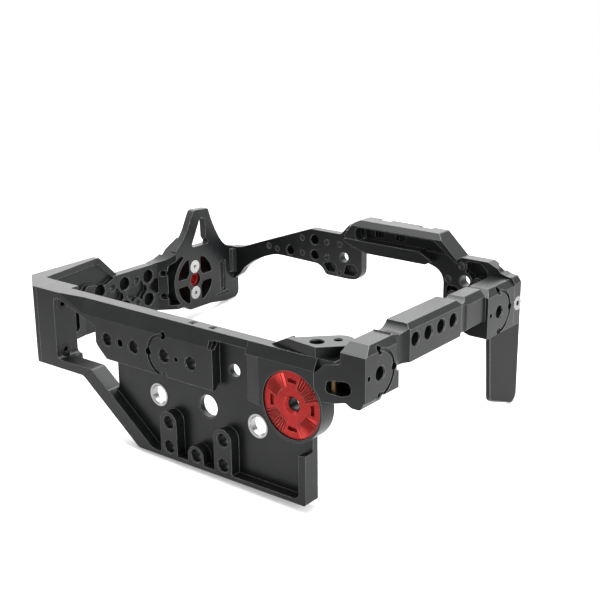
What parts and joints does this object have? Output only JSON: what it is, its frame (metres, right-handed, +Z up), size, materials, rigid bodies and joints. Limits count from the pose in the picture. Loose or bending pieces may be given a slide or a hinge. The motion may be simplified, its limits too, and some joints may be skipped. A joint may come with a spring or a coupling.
{
  "type": "camera cage",
  "caption": "Open rectangular camera cage of milled black bars and plates with two toothed rosettes, threaded holes, a rail, a raised rear handle and a padded leg.",
  "frame": {"origin": "centre of the front rosette, in the plane of its tooth crests", "axes": "+X to the right along the front beam, +Y to the rear, +Z up; the front rosette faces -Y"},
  "size_m": [0.2285, 0.1642, 0.099],
  "materials": {
    "black_anodised": "satin black anodised aluminium",
    "red_anodised": "red anodised aluminium",
    "bright_steel": "bright steel",
    "black_steel": "blackened steel",
    "pad_rubber": "matt black rubber",
    "pin_brass": "brass"
  },
  "bodies": {
    "root": {"accessory_tab": "black_anodised", "beam_set_screws": "black_steel", "bush_left": "bright_steel", "bush_right": "bright_steel", "end_screw": "bright_steel", "front_left_dowels": "bright_steel", "front_left_screws": "black_steel", "front_plate": "black_anodised", "front_right_dowels": "bright_steel", "front_rosette": "red_anodised", "front_rosette_screws": "bright_steel", "handle_strip": "black_anodised", "handle_strip_screws": "black_steel", "leg_pad": "pad_rubber", "rear_left_dowels": "bright_steel", "rear_left_screws": "black_steel", "rear_plate": "black_anodised", "rear_right_dowels": "bright_steel", "rear_right_screws": "black_steel", "right_bar": "black_anodised", "side_plate": "black_anodised", "side_rosette": "red_anodised", "side_rosette_screws": "bright_steel", "strap_pin": "pin_brass", "tab_pins": "bright_steel"}
  },
  "joints": []
}
